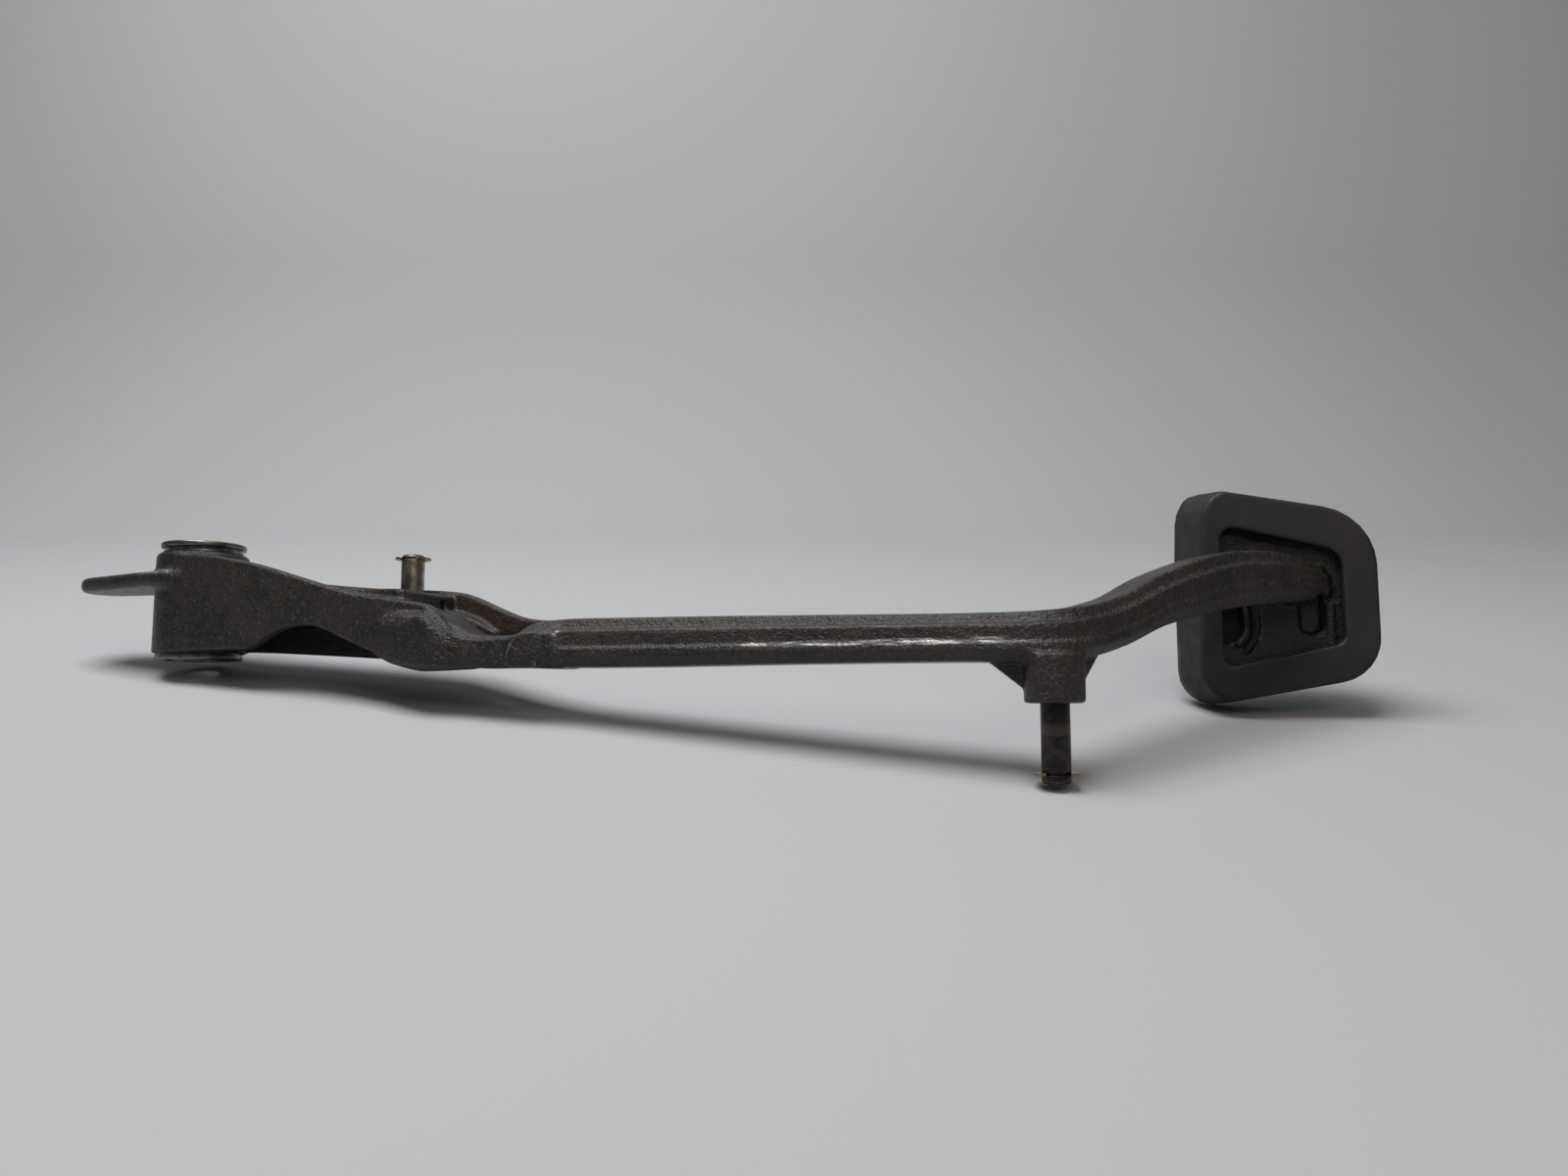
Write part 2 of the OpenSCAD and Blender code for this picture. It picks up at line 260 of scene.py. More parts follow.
def rubbed_pin():
    """Dark steel, rubbed bright in a band round the middle of the free length."""
    g = Graph("dark_pin")
    lines = g.noise(0.3, 2, 0.6, ROUND_LINES)
    blotch = g.noise(3, 4, 0.6)
    split = g.nodes.new("ShaderNodeSeparateXYZ")
    g.links.new(g.place, split.inputs[0])
    off = g.math("ABSOLUTE", g.plus(split.outputs["Z"], -RUBBED_Z * MM))
    rubbed = g.ramp(g.plus(off, g.times(blotch, 2.8 * MM)), 3.6 * MM, 2.2 * MM)
    colour = g.mix(g.ramp(blotch, 0.4, 0.65), DARK_STEEL, OILY_STEEL)
    colour = g.mix(g.times(rubbed, 0.22), colour, RUBBED_STEEL)
    return g.finish(Base_Color=colour, Metallic=0.9, Roughness=g.ramp(lines, 0.3, 0.7, (0.3, 0.48)),
                    Normal=g.bump(lines, 0.012))


MATERIALS = {
    "arm_paint": painted_casting(),
    "pad_rubber": moulded_rubber(),
    "bush_metal": turned_metal("bush_metal", (0.24, 0.236, 0.23), (0.115, 0.1, 0.088)),
    "sleeve_steel": turned_metal("sleeve_steel", (0.34, 0.33, 0.32), (0.2, 0.165, 0.13)),
    "zinc_pin": turned_metal("zinc_pin", (0.37, 0.33, 0.28), (0.14, 0.108, 0.085)),
    "clip_brass": turned_metal("clip_brass", (0.36, 0.28, 0.12), (0.17, 0.13, 0.07), rings=0.6),
    "dark_pin": rubbed_pin(),
}


# ------------------------------------------------------------------ mesh tools
def make_mesh(name, points, faces, node, body, slot, smooth_angle=None, attributes=None):
    """A piece in metres from points in millimetres, standing for a CAD node."""
    mesh = bpy.data.meshes.new(name)
    points = np.asarray(points, float) * MM
    mesh.vertices.add(len(points))
    mesh.vertices.foreach_set("co", points.astype(np.float32).ravel())
    sizes = np.array([len(f) for f in faces], np.int32)
    mesh.loops.add(int(sizes.sum()))
    mesh.loops.foreach_set("vertex_index", np.concatenate([np.asarray(f, np.int32) for f in faces]))
    mesh.polygons.add(len(sizes))
    mesh.polygons.foreach_set("loop_start", np.concatenate([[0], np.cumsum(sizes)[:-1]]).astype(np.int32))
    mesh.update(calc_edges=True)
    mesh.validate()
    mesh.polygons.foreach_set("use_smooth", np.ones(len(mesh.polygons), bool))
    if smooth_angle is not None:
        mesh.set_sharp_from_angle(angle=math.radians(smooth_angle))
    for key, values in (attributes or {}).items():
        layer = mesh.attributes.new(key, "FLOAT", "POINT")
        layer.data.foreach_set("value", np.asarray(values, np.float32))
    mesh.materials.append(MATERIALS[slot])
    piece = bpy.data.objects.new(name, mesh)
    scene.collection.objects.link(piece)
    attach(piece, body)
    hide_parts(node)
    return piece


def unit(v):
    return v / np.linalg.norm(v)


def rounded(points, steps=6):
    """A closed outline of (x, y, corner radius) as plain points."""
    nearly_straight = 1.5         # half the angle at a corner, above which it needs no rounding
    out = []
    n = len(points)
    for i, p in enumerate(points):
        here = np.array(p[:2], float)
        if p[2] <= 0:
            out.append(here)
            continue
        a = unit(np.array(points[i - 1][:2], float) - here)
        b = unit(np.array(points[(i + 1) % n][:2], float) - here)
        half = math.acos(np.clip(a @ b, -1, 1)) / 2
        if half > nearly_straight:
            out.append(here)
            continue
        centre = here + unit(a + b) * p[2] / math.sin(half)
        start = here + a * p[2] / math.tan(half) - centre
        end = here + b * p[2] / math.tan(half) - centre
        first = math.atan2(start[1], start[0])
        turn = (math.atan2(end[1], end[0]) - first + math.pi) % (2 * math.pi) - math.pi
        for k in range(steps + 1):
            angle = first + turn * k / steps
            out.append(centre + p[2] * np.array([math.cos(angle), math.sin(angle)]))
    return np.array(out)


def curve(stops, steps=6):
    """A smooth open line through the stops, which can have any number of values each."""
    stops = np.array(stops, float)
    ends = np.vstack([2 * stops[0] - stops[1], stops, 2 * stops[-1] - stops[-2]])
    out = []
    for a, b, c, d in zip(ends, ends[1:], ends[2:], ends[3:]):
        for k in range(steps):
            t = k / steps
            out.append(0.5 * (2 * b + (c - a) * t + (2 * a - 5 * b + 4 * c - d) * t * t
                              + (3 * b - a - 3 * c + d) * t ** 3))
    out.append(stops[-1])
    return [tuple(p) for p in out]


def lathe(profile, at=(0, 0), count=96, closed=True):
    """Points and faces of a profile of (radius, height) turned round an upright axis."""
    on_axis = 1e-6
    turn = np.arange(count) * 2 * math.pi / count
    points, faces, rings = [], [], []
    for r, z in profile:
        if r < on_axis:
            rings.append([len(points)])
            points.append((at[0], at[1], z))
        else:
            rings.append(list(range(len(points), len(points) + count)))
            points.extend(zip(at[0] + r * np.cos(turn), at[1] + r * np.sin(turn), [z] * count))
    pairs = zip(rings, rings[1:] + rings[:1]) if closed else zip(rings, rings[1:])
    for a, b in pairs:
        for k in range(count):
            m = (k + 1) % count
            if len(a) == 1:
                faces.append((a[0], b[m], b[k]))
            elif len(b) == 1:
                faces.append((a[k], a[m], b[0]))
            else:
                faces.append((a[k], a[m], b[m], b[k]))
    return points, faces


# ---- distance fields: negative inside, in millimetres
def join(a, b, r=0.0):
    """Both shapes, with a fillet of radius r between them."""
    if r <= 0:
        return np.minimum(a, b)
    return np.maximum(r, np.minimum(a, b)) - np.hypot(np.maximum(r - a, 0), np.maximum(r - b, 0))


def meet(a, b, r=0.0):
    """What both shapes share, with its edges rounded to radius r."""
    return -join(-a, -b, r)


def slab(value, low, high):
    """The space where value lies from low to high."""
    return np.abs(value - (low + high) / 2) - (high - low) / 2


def outline(points, u, v):
    """Distance from a closed outline for arrays u and v."""
    no_length = 1e-12             # the square of an edge too short to count
    best = np.full(np.broadcast(u, v).shape, np.inf, np.float32)
    inside = np.zeros(best.shape, bool)
    n = len(points)
    for i in range(n):
        (ax, ay), (bx, by) = points[i], points[(i + 1) % n]
        dx, dy = bx - ax, by - ay
        length = dx * dx + dy * dy
        if length < no_length:
            continue
        pu, pv = u - ax, v - ay
        part = np.clip((pu * dx + pv * dy) / length, 0, 1)
        best = np.minimum(best, (pu - part * dx) ** 2 + (pv - part * dy) ** 2)
        if ay != by:
            inside ^= ((ay > v) != (by > v)) & (u < dx * (v - ay) / dy + ax)
    best = np.sqrt(best)
    return np.where(inside, -best, best).astype(np.float32)


CORNERS = [(i, j, k) for i in (0, 1) for j in (0, 1) for k in (0, 1)]


class Field:
    """A block of space on a grid, step being its three spacings, filled with joined shapes."""

    EMPTY = 20                    # distance from the nearest shape before any is added

    def __init__(self, low, high, step):
        self.low, self.step = np.array(low, float), np.array(step, float)
        counts = np.ceil((np.array(high) - self.low) / self.step).astype(int) + 1
        self.axes = [self.low[i] + self.step[i] * np.arange(counts[i]) for i in range(3)]
        self.value = np.full(counts, self.EMPTY, np.float32)

    def window(self, low, high):
        cut = []
        for axis, a, b in zip(self.axes, low, high):
            cut.append(slice(max(0, np.searchsorted(axis, a)), max(1, np.searchsorted(axis, b))))
        x, y, z = (axis[c].astype(np.float32) for axis, c in zip(self.axes, cut))
        return tuple(cut), x[:, None, None], y[None, :, None], z[None, None, :]

    def add(self, low, high, shape, fillet=0.0):
        cut, x, y, z = self.window(low, high)
        self.value[cut] = join(self.value[cut], shape(x, y, z), fillet)

    def cut(self, low, high, shape, edge=0.0):
        cut, x, y, z = self.window(low, high)
        self.value[cut] = meet(self.value[cut], -shape(x, y, z), edge)

    def surface(self):
        """Points and four-sided faces where the value is zero, one point in each cell it crosses."""
        inside = self.value < 0
        shape = np.array(self.value.shape) - 1
        cells, index = self.crossed_cells(inside, shape)
        points = self.low + self.step * (cells + self.crossing(cells))
        return points, np.concatenate([self.faces_across(axis, inside, shape, index) for axis in range(3)])

    @staticmethod
    def crossed_cells(inside, shape):
        count = np.zeros(shape, np.int8)
        for i, j, k in CORNERS:
            count += inside[i:i + shape[0], j:j + shape[1], k:k + shape[2]]
        cells = np.argwhere((count > 0) & (count < 8))
        index = np.full(shape, -1, np.int32)
        index[tuple(cells.T)] = np.arange(len(cells))
        return cells, index

    def crossing(self, cells):
        """The mean of the places where the surface cuts each cell's edges, as parts of a cell."""
        total = np.zeros((len(cells), 3))
        hits = np.zeros(len(cells))
        for a in CORNERS:
            for axis in range(3):
                if a[axis]:
                    continue
                b = list(a)
                b[axis] = 1
                fa = self.value[tuple((cells + a).T)].astype(float)
                fb = self.value[tuple((cells + b).T)].astype(float)
                crossed = (fa < 0) != (fb < 0)
                t = np.where(crossed, fa / np.where(crossed, fa - fb, 1), 0)
                spot = np.array(a, float) + t[:, None] * (np.array(b) - np.array(a))
                total += spot * crossed[:, None]
                hits += crossed
        return total / hits[:, None]

    @staticmethod
    def faces_across(axis, inside, shape, index):
        """A face round each grid edge along axis that the surface crosses."""
        u, v = (axis + 1) % 3, (axis + 2) % 3
        first = [slice(None)] * 3
        second = [slice(None)] * 3
        first[axis], second[axis] = slice(0, -1), slice(1, None)
        starts, ends = inside[tuple(first)], inside[tuple(second)]
        edges = np.argwhere(starts != ends)
        keep = (edges[:, u] > 0) & (edges[:, v] > 0)
        keep &= (edges[:, u] < shape[u]) & (edges[:, v] < shape[v])
        edges = edges[keep]
        outwards = starts[tuple(edges.T)]
        ring = []
        for du, dv in ((-1, -1), (0, -1), (0, 0), (-1, 0)):
            cell = edges.copy()
            cell[:, u] += du
            cell[:, v] += dv
            ring.append(index[tuple(cell.T)])
        ring = np.array(ring).T
        return np.where(outwards[:, None], ring, ring[:, ::-1])


SHRINK, SWELL = 0.5, 0.26         # each pass moves points to their neighbours' mean, then partly back


def relax(points, faces, passes):
    """Evens the mesh out, and gives how convex each point is (positive on outer edges)."""
    a = np.concatenate([faces[:, i] for i in range(4)])
    b = np.concatenate([faces[:, (i + 1) % 4] for i in range(4)])
    n = len(points)
    degree = np.maximum(np.bincount(a, minlength=n), 1)[:, None]

    def mean(values):
        return np.stack([np.bincount(a, values[b, i], n) for i in range(values.shape[1])], 1) / degree

    points = points.copy()
    for _ in range(passes):
        points += SHRINK * (mean(points) - points)
        points -= SWELL * (mean(points) - points)
    diagonal, other = points[faces[:, 2]] - points[faces[:, 0]], points[faces[:, 3]] - points[faces[:, 1]]
    face_normal = np.cross(diagonal, other)
    normal = np.zeros((n, 3))
    for i in range(4):
        for axis in range(3):
            normal[:, axis] += np.bincount(faces[:, i], face_normal[:, axis], n)
    normal /= np.maximum(np.linalg.norm(normal, axis=1, keepdims=True), 1e-9)
    bend = -np.einsum("ij,ij->i", mean(points) - points, normal)[:, None]
    bend = 0.5 * bend + 0.5 * mean(bend)
    return points, bend[:, 0]


# ------------------------------------------------------------------ the casting
# Along the straight part of the arm, s is the distance from the pivot and t the distance across it,
# positive on the far side. "near" is the side of the pad's rear face.
ARM_ANGLE = math.radians(ARM_DEGREES)
COS, SIN = math.cos(ARM_ANGLE), math.sin(ARM_ANGLE)
TUBE_R, TUBE_LOW, TUBE_TOP = 15.75, -19.2, 17.8
BUSH_R, PIN_R, ROD_R = 12, 4, 8
PIN_HOLE_R = 3.7                  # the casting holds each pin's end a little inside its skin
PUSHROD_AT, BOSS_AT = (85.5, 12.5), (311.5, 0)
PUSHROD_SEAT, BOSS_LOW = 1, -38.5


def along(x, y):
    return x * COS - y * SIN


def across(x, y):
    return x * SIN + y * COS


def row_xy(s, t):
    return s * COS + t * SIN, -s * SIN + t * COS


# seen from above, as (s, t): the outer skins of the head's walls
NEAR_WALL = [(3, -15.4), (89, -12), (112, -12), (136, -11.5), (155, -8), (165, -8)]
FAR_WALL = curve([(-4, 14.5), (4, 15.5), (42, 20), (95, 23), (120, 17), (144, 10), (155, 8), (165, 8)])
WALL = 5
# seen from the side, as (s, z): top edges first, then the undersides backwards
NEAR_TOP = [(-4, 15.5), (15, 15.5), (37, 11.5), (60, 5), (80, -0.5), (103, -4), (110, -5.5), (115, -8.5),
            (120, -13.5), (125, -16.5), (136, -17), (150, -15.5), (158, -15.8)]
NEAR_ARCH = [(158, -26), (136, -26.3), (115, -27), (103, -26), (82, -18), (67, -12), (58, -11), (49, -12.5),
             (38, -18)]
NEAR_SIDE = curve(NEAR_TOP) + curve(NEAR_ARCH) + [(36, -18.8), (-4, -18.8)]
FAR_TOP = [(-4, 13), (20, 9.5), (60, 5), (95, 2.5), (108, 0), (125, -6), (135, -9), (147, -10.6),
           (158, -11.4)]
FAR_LOW = [(158, -26), (120, -25), (95, -23), (20, -18.5), (-4, -18.5)]
FAR_SIDE = curve(FAR_TOP) + curve(FAR_LOW)
WEB_HIGH = [(0, 3), (40, 0), (62, -2.5), (70, 0.5), (80, 1), (97, 0.5), (100, -0.5)]
POCKET_FLOOR = [(100.5, -5), (106, -6.5), (113, -8.5), (120, -12), (126, -15), (131, -16), (142, -16.5),
                (158, -16.8)]
WEB_SIDE = curve(WEB_HIGH) + curve(POCKET_FLOOR) + [(158, -20), (100, -15), (89, -5), (0, -5)]
BULGE = [(90, -12.2, 2), (104, -15.3, 1), (114, -15, 1.5), (122, -11.8, 4), (130, -11.5, 0), (130, -8, 0),
         (90, -8, 0)]
BULGE_SIDE = [(88, -10, 4), (102, -8, 4), (112, -8.5, 4), (122, -18, 4), (140, -19.5, 0),
              (140, -26.6, 0), (110, -27, 9), (97, -24.5, 4), (88, -21, 2)]
SIDE_TABLE = np.arange(-8, 172, 0.25, dtype=np.float32)


def wide(line, inwards):
    """A band between a line and the same line moved across."""
    return np.array(list(line) + [(s, t + inwards) for s, t in reversed(line)], float)


def from_side(points, x, y, z):
    """Distance from an outline in (s, z), looked up by rows in a table."""
    low, step = SIDE_TABLE[0], SIDE_TABLE[1] - SIDE_TABLE[0]
    table = outline(points, SIDE_TABLE[:, None], z[0, 0, :][None, :])
    where = np.clip((along(x, y)[..., 0] - low) / step, 0, len(SIDE_TABLE) - 2)
    first = where.astype(int)
    part = (where - first)[..., None].astype(np.float32)
    return table[first] * (1 - part) + table[first + 1] * part


def in_plan(points, x, y):
    """Distance from an outline in (s, t)."""
    return outline(points, along(x, y)[..., 0], across(x, y)[..., 0])[..., None]


def tube(x, y, z):
    radial = np.hypot(x, y) - TUBE_R
    return meet(meet(radial, z - TUBE_TOP, 2.4), TUBE_LOW - z, 0.8)


def tongue(x, y, z):
    """A blade that starts as a collar round the tube's left half."""
    turn, collar_offset = math.radians(180 - 7), 4
    root, end, reach = 18.2, 10.5, 35.8
    middle, half, droop_from, droop = 7.4, 2.7, 11, 0.02
    u = x * math.cos(turn) + y * math.sin(turn) - collar_offset
    v = np.abs(-x * math.sin(turn) + y * math.cos(turn))
    slope = (root - end) / reach
    rise = math.sqrt(1 - slope * slope)
    ahead = rise * u - slope * v
    sides = rise * v + slope * u - root
    flat = np.where(ahead < 0, np.hypot(u, v) - root,
                    np.where(ahead > rise * reach, np.hypot(u - reach, v) - end, sides))
    lift = middle - droop * np.clip(u - droop_from, 0, None)
    return meet(flat, np.abs(z - lift) - half, 2.2)


def near_wall(x, y, z):
    wall = meet(in_plan(wide(NEAR_WALL, WALL), x, y), from_side(NEAR_SIDE, x, y, z), 1.0)
    swell = meet(in_plan(rounded(BULGE), x, y), from_side(rounded(BULGE_SIDE), x, y, z), 2.6)
    return join(wall, swell, 1.5)


def far_wall(x, y, z):
    return meet(in_plan(wide(FAR_WALL, -WALL), x, y), from_side(FAR_SIDE, x, y, z), 1.4)


def web(x, y, z):
    """What closes the head between the walls, reaching 2 mm into each."""
    between = [(s, t + 2) for s, t in NEAR_WALL] + [(s, t - 2) for s, t in reversed(FAR_WALL)]
    return meet(in_plan(np.array(between, float), x, y), from_side(WEB_SIDE, x, y, z), 0.8)


def slot(x, y, z):
    """The dark slot in the pocket's floor, which widens towards the rod."""
    plan = [(111.5, 7.8), (118, 9.3), (124, 11), (131, 8), (128, 1.5), (120.3, 2)]
    side = [(108, 0), (140, -10), (140, -20), (108, -13)]
    return meet(in_plan(plan, x, y), from_side(side, x, y, z), 0.3)


def notches(x, y, z):
    """A small hollow in the step at the pocket's end, and one in the floor beside it."""
    in_step = in_plan([(98, 9.5), (101.5, 9.5), (101.5, 12), (98, 12)], x, y)
    in_floor = in_plan([(101, 8.5), (106.5, 9), (106.5, 12.5), (101, 12.5)], x, y)
    return join(meet(in_step, slab(z, -5.6, -2.4)), meet(in_floor, slab(z, -10, -4)))


def pushrod_seat(x, y, z):
    cx, cy = row_xy(*PUSHROD_AT)
    return meet(np.hypot(x - cx, y - cy) - 7, slab(z, PUSHROD_SEAT - 8, PUSHROD_SEAT), 0.8)


# the rod and its rise to the pad: a section swept through stations of (x, y, low z, high z, half width),
# the straight ones drawn as (s, low z, high z)
STRAIGHT = [(138, -26.3, -17), (151, -26.5, -11.6), (190, -26.8, -11.5), (240, -26.7, -12.4),
            (287, -26.9, -13.3)]
RISE = [(301, -75.5, -27.3, -12.8, 8), (318, -64, -23, -8.5, 8), (334, -50, -15.5, 0, 8),
        (356, -31, -9.5, 8.2, 8), (375, -18, -6.5, 10, 7.5), (385, -11.5, -5.5, 8.4, 6.8),
        (393, -6, -4, 6, 5)]
STATIONS = [(*row_xy(s, 0), low, high, ROD_R) for s, low, high in STRAIGHT] + RISE
# the section of a bar 15 high; the near side is the negative one, and carries ridges past the head
SECTION_H = 15
RIDGED = [(-5, 0, 0.8), (4.6, 0, 1.4), (8, 4, 1.6), (8, 12, 1.4), (5.5, 15, 1.2), (-4.4, 15, 0.7),
          (-5.7, 11.7, 0.4), (-7.2, 11.1, 0.4), (-7.2, 6.3, 0.4), (-7.9, 5.5, 0.4), (-8, 3, 0.5)]
PLAIN = [(-4.6, 0, 0.8), (4.6, 0, 1.4), (8, 4, 1.6), (8, 12, 1.4), (5.5, 15, 1.2), (-3.6, 15, 0.8),
         (-6.6, 12.4, 0.8), (-8, 9.5, 2), (-8, 3.0, 0.7)]
RIDGES_FROM, RIDGES_FULL = 154.5, 159.5


def nearest_on(path, x, y):
    """For each point of a plan, its signed distance from the path and the place along it, in steps."""
    best = np.full(x.shape, np.inf)
    off = np.zeros(x.shape)
    row = np.zeros(x.shape)
    for i in range(len(path) - 1):
        a, b = path[i, :2], path[i + 1, :2]
        d = b - a
        size = d @ d
        before = 0 if i else -9                     # the first step also reaches back
        t = np.clip(((x - a[0]) * d[0] + (y - a[1]) * d[1]) / size, before, 1)
        qx, qy = x - a[0] - t * d[0], y - a[1] - t * d[1]
        dist = qx * qx + qy * qy
        side = (d[0] * qy - d[1] * qx) / math.sqrt(size)
        closer = dist < best
        best = np.where(closer, dist, best)
        off = np.where(closer, np.sign(side) * np.sqrt(dist), off)
        row = np.where(closer, i + np.clip(t, 0, 1), row)
    return off, row


def section_table(sections, u, v):
    """Distances from each section at u and v, looked up in a table."""
    step, low_u, low_v = 0.1, -20, -14
    gu, gv = np.arange(low_u, 20, step), np.arange(low_v, 30, step)
    iu = np.clip((u - low_u) / step, 0, len(gu) - 2)
    iv = np.clip((v - low_v) / step, 0, len(gv) - 2)
    ku, kv = iu.astype(int), iv.astype(int)
    fu, fv = iu - ku, iv - kv
    for section in sections:
        table = outline(rounded(section), gu[:, None], gv[None, :])
        yield (table[ku, kv] * (1 - fu) * (1 - fv) + table[ku + 1, kv] * fu * (1 - fv)
               + table[ku, kv + 1] * (1 - fu) * fv + table[ku + 1, kv + 1] * fu * fv)


def bar(x, y, z):
    path = np.array(curve(STATIONS, 12))
    plan_shape = np.broadcast(x[..., 0], y[..., 0]).shape
    px = np.broadcast_to(x[..., 0], plan_shape).astype(float)
    py = np.broadcast_to(y[..., 0], plan_shape).astype(float)
    off, row = nearest_on(path, px, py)
    steps = np.arange(len(path))
    low, high, half = (np.interp(row, steps, path[:, k]) for k in (2, 3, 4))
    run = np.concatenate([[0], np.cumsum(np.linalg.norm(np.diff(path[:, :2], axis=0), axis=1))])
    slope = np.gradient((path[:, 2] + path[:, 3]) / 2, run)
    lean = 1 / np.sqrt(1 + np.interp(row, steps, slope) ** 2)
    u = np.broadcast_to((off * ROD_R / half)[..., None], plan_shape + z.shape[2:]).astype(np.float32)
    v = (z - low[..., None]) / (high - low)[..., None] * SECTION_H
    plain, ridged = section_table((PLAIN, RIDGED), u, v)
    change = np.clip((along(px, py)[..., None] - RIDGES_FROM) / (RIDGES_FULL - RIDGES_FROM), 0, 1)
    flat = plain * (1 - change) + ridged * change
    return (flat * (0.5 + 0.5 * lean[..., None])).astype(np.float32)


def patch(x, y, z):
    """A low raised patch with a rounded near corner, where the head runs into the rod."""
    side = [(141.5, -15.4, 8), (151.8, -15.2, 0.8), (151.8, -26.5, 0.8), (141.5, -26.5, 1)]
    skin = np.array([(138, -12.2), (151.8, -9.7), (156, -8.8), (156, -5), (138, -5)])
    return meet(from_side(rounded(side), x, y, z), in_plan(skin, x, y), 0.4)


def boss(x, y, z):
    """The side pin's boss, a little wider towards the rod."""
    radius, taper, top = 8.25, 0.012, -25
    cx, cy = row_xy(*BOSS_AT)
    radial = np.hypot(x - cx, y - cy) - radius - taper * (z - BOSS_LOW)
    return meet(meet(radial, BOSS_LOW - z, 0.7), z - top, 0.5)


def gusset(degrees, points):
    """A rib beside the boss, turned from the straight part of the arm and drawn as (distance, z)."""
    half = 2.5
    cx, cy = row_xy(*BOSS_AT)
    angle = -ARM_ANGLE + math.radians(degrees)
    c, s = math.cos(angle), math.sin(angle)

    def shape(x, y, z):
        u = (x - cx) * c + (y - cy) * s
        v = -(x - cx) * s + (y - cy) * c
        flat = outline(rounded(points), u + 0 * z, z + 0 * u)
        return meet(flat, np.abs(v) - half, 0.6)

    return shape


ROD_GUSSET = gusset(0, [(-17.5, -22, 0), (-17.5, -27.2, 0.6), (-7, -35.5, 1), (2, -35.5, 0), (2, -22, 0)])
RISE_GUSSET = gusset(56.5, [(-2, -20, 0), (-2, -36, 0), (7, -36, 1), (16, -25, 1), (16, -18, 0)])

# the foot plate and its relief, outlined in the pad's plane as (x, z, corner radius)
PLATE_OUTLINE = [(357.5, 27.5, 7), (407.5, 18, 15), (407.5, -23.5, 8), (357.5, -33, 7)]
HOLE = [(362, -3.5, 1), (370, -3.5, 1), (371, -18, 5.5), (362, -18.5, 1)]
RECESS = [(389, -2, 2), (395.5, -2, 2), (395.5, -15, 3), (389, -15, 3)]
STRIP = [(396.6, -5, 1), (399.4, -5, 1), (399.4, -20, 1), (396.6, -21, 1)]
CAST_PAD = [(372, 16.5, 1.5), (382, 14.5, 1.5), (382, 10, 1), (372, 12, 1)]
PLATE_REAR, PLATE_T = -5.6, 4.5


def upright(points, x, z):
    return outline(rounded(points), x[:, :, 0][:, 0][:, None], z[0, 0][None, :])[:, None, :]


def in_plate(y):
    return np.abs(y - PLATE_REAR - PLATE_T / 2) - PLATE_T / 2


def plate(x, y, z):
    return meet(upright(PLATE_OUTLINE, x, z), in_plate(y), 0.6)


def raised(flat, height):
    """A low ridge on the plate's rear face, from its outline's distance."""
    def shape(x, y, z):
        return meet(meet(flat(x, z), y - PLATE_REAR - 1), PLATE_REAR - height - y, 0.5)
    return shape


def lip(x, z):
    """A ring 1 mm outside the hole, left open on the hole's left side."""
    return np.maximum(np.abs(upright(HOLE, x, z) - 1.0) - 1.1, 368 - x)


def lip_groove(x, y, z):
    """A groove round the lip, on its lower right side."""
    ring = np.abs(upright(HOLE, x, z) - 4.4) - 1.2
    return meet(np.maximum(ring, np.maximum(371 - x, z + 3)), y - PLATE_REAR - 1.4)


RELIEF = [(lip, 1.5), (lambda x, z: upright(STRIP, x, z), 0.9), (lambda x, z: upright(CAST_PAD, x, z), 0.6)]


def bush_bore(x, y, z):
    return np.hypot(x, y) - BUSH_R + 0 * z


def hole(x, y, z):
    return upright(HOLE, x, z) + 0 * y


def recess(x, y, z):
    return meet(upright(RECESS, x, z), y - PLATE_REAR - 2.6, 1)


def pin_hole(at, low, high):
    """The hole for a pin's end, as a block to look in and a shape."""
    reach, spare = 8, 4
    cx, cy = row_xy(*at)

    def shape(x, y, z):
        return meet(np.hypot(x - cx, y - cy) - PIN_HOLE_R, slab(z, low, high))

    return (cx - reach, cy - reach, low - spare), (cx + reach, cy + reach, high + spare), shape


# blocks of space that hold each feature and its fillets
WHOLE = (-51, -92, -42), (411, 28, 32)
HEAD = (-10, -70, -35), (175, 28, 20)
PLATE = (350, -30, -42), (411, 12, 32)
PLATE_REAR_FACE = (358, -9, -30), (406, 2, 25)


def arm_body(step):
    """All of the casting but its tube and tongue."""
    body = Field(*WHOLE, step)
    body.add(*HEAD, near_wall)
    body.add(*HEAD, far_wall)
    body.add(*HEAD, web, 1.2)
    body.add((60, -35, -15), (110, 15, 8), pushrod_seat, 1.5)
    body.add((118, -92, -36), (402, 12, 24), bar, 2.0)
    body.add((120, -60, -34), (165, -20, -8), patch, 0.3)
    body.cut((95, -60, -22), (140, 5, 2), slot, 0.3)
    body.cut((90, -30, -12), (115, 5, 2), notches, 0.2)
    body.add((280, -92, -42), (325, -55, -8), boss, 1.2)
    body.add((270, -92, -42), (325, -50, -8), ROD_GUSSET, 0.6)
    body.add((290, -92, -42), (335, -50, -8), RISE_GUSSET, 0.6)
    body.add(*PLATE, plate, 3.5)
    for flat, height in RELIEF:
        body.add(*PLATE_REAR_FACE, raised(flat, height), 0.6)
    body.cut(*PLATE_REAR_FACE, lip_groove, 0.5)
    return body


def casting(step):
    field = Field(*WHOLE, step)
    field.add((-25, -25, -25), (25, 25, 25), tube)
    field.add((-51, -25, -2), (25, 25, 17), tongue, 2.4)
    field.value = join(field.value, arm_body(step).value, 1.3)
    field.cut((-16, -16, -30), (16, 16, 26), bush_bore)
    field.cut((360, -12, -25), (400, 4, 5), hole, 0.6)
    field.cut((380, -12, -25), (405, 4, 5), recess, 2.0)
    field.cut(*pin_hole(PUSHROD_AT, -5, 20))
    field.cut(*pin_hole(BOSS_AT, -42, -26.5))
    return field.surface()


